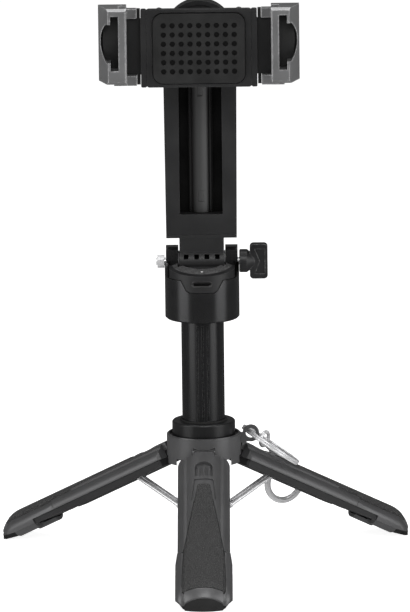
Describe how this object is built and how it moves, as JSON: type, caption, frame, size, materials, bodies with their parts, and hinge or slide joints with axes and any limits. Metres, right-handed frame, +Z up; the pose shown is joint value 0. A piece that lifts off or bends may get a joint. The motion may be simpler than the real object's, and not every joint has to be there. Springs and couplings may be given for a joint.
{
  "type": "selfie stick",
  "caption": "Telescopic selfie stick on a folding tripod base, with a sprung phone clamp, tilting arm, pull-out remote and key chain.",
  "frame": {"origin": "bottom centre of the whole part's box, on the floor the feet stand on", "axes": "+Z up along the stick, -Y the way the phone's screen and the front leg face, +X to the right seen from the front"},
  "size_m": [0.1776, 0.1572, 0.247],
  "materials": {
    "grey_body": "satin dark grey metallic coating",
    "black_plastic": "fine-textured black moulding",
    "gloss_black": "polished black moulding",
    "jaw_grey": "silver-grey metallic lacquer",
    "tube_black": "black anodised",
    "tube_silver": "drawn tube",
    "rubber_black": "soft black rubber",
    "leather_grain": "leather-grained rubber",
    "chrome": "bright plated steel",
    "steel": "bare steel",
    "gear_white": "natural acetal",
    "speckled_grey": "speckled dark grey",
    "board_green": "solder mask",
    "light_white": "clear white lens"
  },
  "bodies": {
    "base": {"base_ring": "black_plastic", "tube_seal": "rubber_black", "leg_hub": "grey_body", "leg_pins": "steel", "tube_1": "tube_black"},
    "front_leg": {"front_leg_shell": "grey_body", "front_leg_inlay": "leather_grain", "front_leg_rail": "black_plastic", "front_leg_foot": "rubber_black"},
    "front_stay": {"front_stay": "chrome"},
    "left_leg": {"left_leg_shell": "grey_body", "left_leg_inlay": "leather_grain", "left_leg_rail": "black_plastic", "left_leg_foot": "rubber_black"},
    "left_stay": {"left_stay": "chrome"},
    "right_leg": {"right_leg_shell": "grey_body", "right_leg_inlay": "leather_grain", "right_leg_rail": "black_plastic", "right_leg_foot": "rubber_black"},
    "right_stay": {"right_stay": "chrome"},
    "spider": {"stay_spider": "steel"},
    "tube_2": {"tube_2": "tube_silver"},
    "tube_3": {"tube_3": "tube_silver"},
    "tube_4": {"tube_4": "tube_silver"},
    "head": {"tube_5": "tube_silver", "head_core": "black_plastic", "head_collar": "grey_body", "hinge_nut": "chrome", "hinge_washers": "steel"},
    "knob": {"wing_knob": "black_plastic", "hinge_bolt": "chrome"},
    "arm": {"arm_frame": "black_plastic", "arm_back_cover": "black_plastic", "arm_channel_liner": "gloss_black", "arm_end_cap": "black_plastic", "arm_screws": "steel"},
    "clamp": {"holder_rear_cover": "black_plastic", "holder_front_cover": "black_plastic", "holder_grip_pad": "rubber_black", "holder_pivot": "steel", "holder_screws": "steel", "jaw_spring": "steel"},
    "right_jaw": {"right_jaw_rail": "black_plastic", "right_jaw_shell": "jaw_grey", "right_jaw_pad": "rubber_black"},
    "left_jaw": {"left_jaw_rail": "black_plastic", "left_jaw_shell": "jaw_grey", "left_jaw_pad": "rubber_black"},
    "pinion": {"jaw_pinion": "gear_white"},
    "remote": {"remote_case": "black_plastic", "remote_top_ring": "speckled_grey", "remote_port": "steel", "remote_board": "board_green", "remote_light": "light_white"},
    "remote_key": {"remote_button": "gloss_black"},
    "key_ring": {"key_split_ring": "chrome"},
    "key_eye": {"key_swivel": "chrome"},
    "key_clip": {"key_hook": "chrome"},
    "key_latch": {"key_gate": "chrome"},
    "key_end_ring": {"key_big_ring": "chrome"}
  },
  "joints": [
    {"name": "front_leg_fold", "type": "hinge", "parent": "base", "child": "front_leg", "pos_m": [0, 0.00877, 0.0496], "axis": [1, 0, 0], "range_deg": [0, 63]},
    {"name": "left_leg_fold", "type": "hinge", "parent": "base", "child": "left_leg", "pos_m": [-0.01082, 0.02752, 0.0496], "axis": [-0.5, -0.866, 0], "range_deg": [0, 63]},
    {"name": "right_leg_fold", "type": "hinge", "parent": "base", "child": "right_leg", "pos_m": [0.01082, 0.02752, 0.0496], "axis": [-0.5, 0.866, 0], "range_deg": [0, 63]},
    {"name": "front_stay_swing", "type": "hinge", "parent": "front_leg", "child": "front_stay", "pos_m": [0, -0.01751, 0.03621], "axis": [1, 0, 0], "range_deg": [-126, 0]},
    {"name": "left_stay_swing", "type": "hinge", "parent": "left_leg", "child": "left_stay", "pos_m": [-0.03359, 0.04066, 0.03621], "axis": [-0.5, -0.866, 0], "range_deg": [-126, 0]},
    {"name": "right_stay_swing", "type": "hinge", "parent": "right_leg", "child": "right_stay", "pos_m": [0.03359, 0.04066, 0.03621], "axis": [-0.5, 0.866, 0], "range_deg": [-126, 0]},
    {"name": "spider_level", "type": "hinge", "parent": "front_stay", "child": "spider", "pos_m": [0, 0.00877, 0.02281], "axis": [1, 0, 0], "range_deg": [0, 63]},
    {"name": "tube_2_slide", "type": "slide", "parent": "base", "child": "tube_2", "axis": [0, 0, 1], "range_m": [0, 0.045]},
    {"name": "tube_3_slide", "type": "slide", "parent": "tube_2", "child": "tube_3", "axis": [0, 0, 1], "range_m": [0, 0.045]},
    {"name": "tube_4_slide", "type": "slide", "parent": "tube_3", "child": "tube_4", "axis": [0, 0, 1], "range_m": [0, 0.045]},
    {"name": "head_slide", "type": "slide", "parent": "tube_4", "child": "head", "axis": [0, 0, 1], "range_m": [0, 0.045]},
    {"name": "knob_turn", "type": "hinge", "parent": "head", "child": "knob", "pos_m": [0, 0.02127, 0.13115], "axis": [1, 0, 0], "continuous": true},
    {"name": "arm_tilt", "type": "hinge", "parent": "head", "child": "arm", "pos_m": [0, 0.02127, 0.13115], "axis": [1, 0, 0], "range_deg": [-90, 45]},
    {"name": "clamp_turn", "type": "hinge", "parent": "arm", "child": "clamp", "pos_m": [0, 0.01627, 0.2283], "axis": [0, -1, 0], "continuous": true},
    {"name": "right_jaw_slide", "type": "slide", "parent": "clamp", "child": "right_jaw", "axis": [1, 0, 0], "range_m": [0, 0.0145], "stiffness_N_per_m": 150, "springref_m": -0.01},
    {"name": "left_jaw_slide", "type": "slide", "parent": "clamp", "child": "left_jaw", "axis": [-1, 0, 0], "range_m": [0, 0.0145], "stiffness_N_per_m": 150, "springref_m": -0.01},
    {"name": "pinion_spin", "type": "hinge", "parent": "clamp", "child": "pinion", "pos_m": [0, 0.00377, 0.2283], "axis": [0, -1, 0], "range_deg": [-0.5, 167]},
    {"name": "remote_pull", "type": "slide", "parent": "head", "child": "remote", "axis": [0, -1, 0], "range_m": [0, 0.025]},
    {"name": "remote_press", "type": "slide", "parent": "remote", "child": "remote_key", "axis": [0, 0.1961, -0.9806], "range_m": [0, 0.0004], "stiffness_N_per_m": 600, "springref_m": -0.0005},
    {"name": "key_ring_swing", "type": "hinge", "parent": "base", "child": "key_ring", "pos_m": [0.0203, 0.02127, 0.0554], "axis": [0.5629, -0.7821, -0.2673], "range_deg": [0, 12]},
    {"name": "key_eye_swing", "type": "hinge", "parent": "key_ring", "child": "key_eye", "pos_m": [0.02618, 0.04356, 0.04791], "axis": [0.8056, 0.1373, -0.5763], "range_deg": [0, 6]},
    {"name": "key_clip_swivel", "type": "hinge", "parent": "key_eye", "child": "key_clip", "pos_m": [0.02618, 0.04356, 0.04791], "axis": [0.344, 0.7121, -0.6121], "range_deg": [-4, 4]},
    {"name": "key_gate_open", "type": "hinge", "parent": "key_clip", "child": "key_latch", "pos_m": [0.03046, 0.05476, 0.04113], "axis": [-0.9214, 0.1307, -0.3658], "range_deg": [0, 7], "stiffness_Nm_per_rad": 0.002, "springref_deg": -5.73},
    {"name": "key_big_ring_swing", "type": "hinge", "parent": "key_clip", "child": "key_end_ring", "pos_m": [0.03468, 0.06115, 0.03279], "axis": [-0.4542, 0.8881, 0.0706], "range_deg": [-5, 0]}
  ],
  "couplings": [
    {"joint": "left_leg_fold", "follows": "front_leg_fold", "ratio": 1},
    {"joint": "right_leg_fold", "follows": "front_leg_fold", "ratio": 1},
    {"joint": "front_stay_swing", "follows": "front_leg_fold", "ratio": -2},
    {"joint": "left_stay_swing", "follows": "front_leg_fold", "ratio": -2},
    {"joint": "right_stay_swing", "follows": "front_leg_fold", "ratio": -2},
    {"joint": "spider_level", "follows": "front_leg_fold", "ratio": 1},
    {"joint": "left_jaw_slide", "follows": "right_jaw_slide", "ratio": 1},
    {"joint": "pinion_spin", "follows": "right_jaw_slide", "rad_per_m": 200}
  ]
}
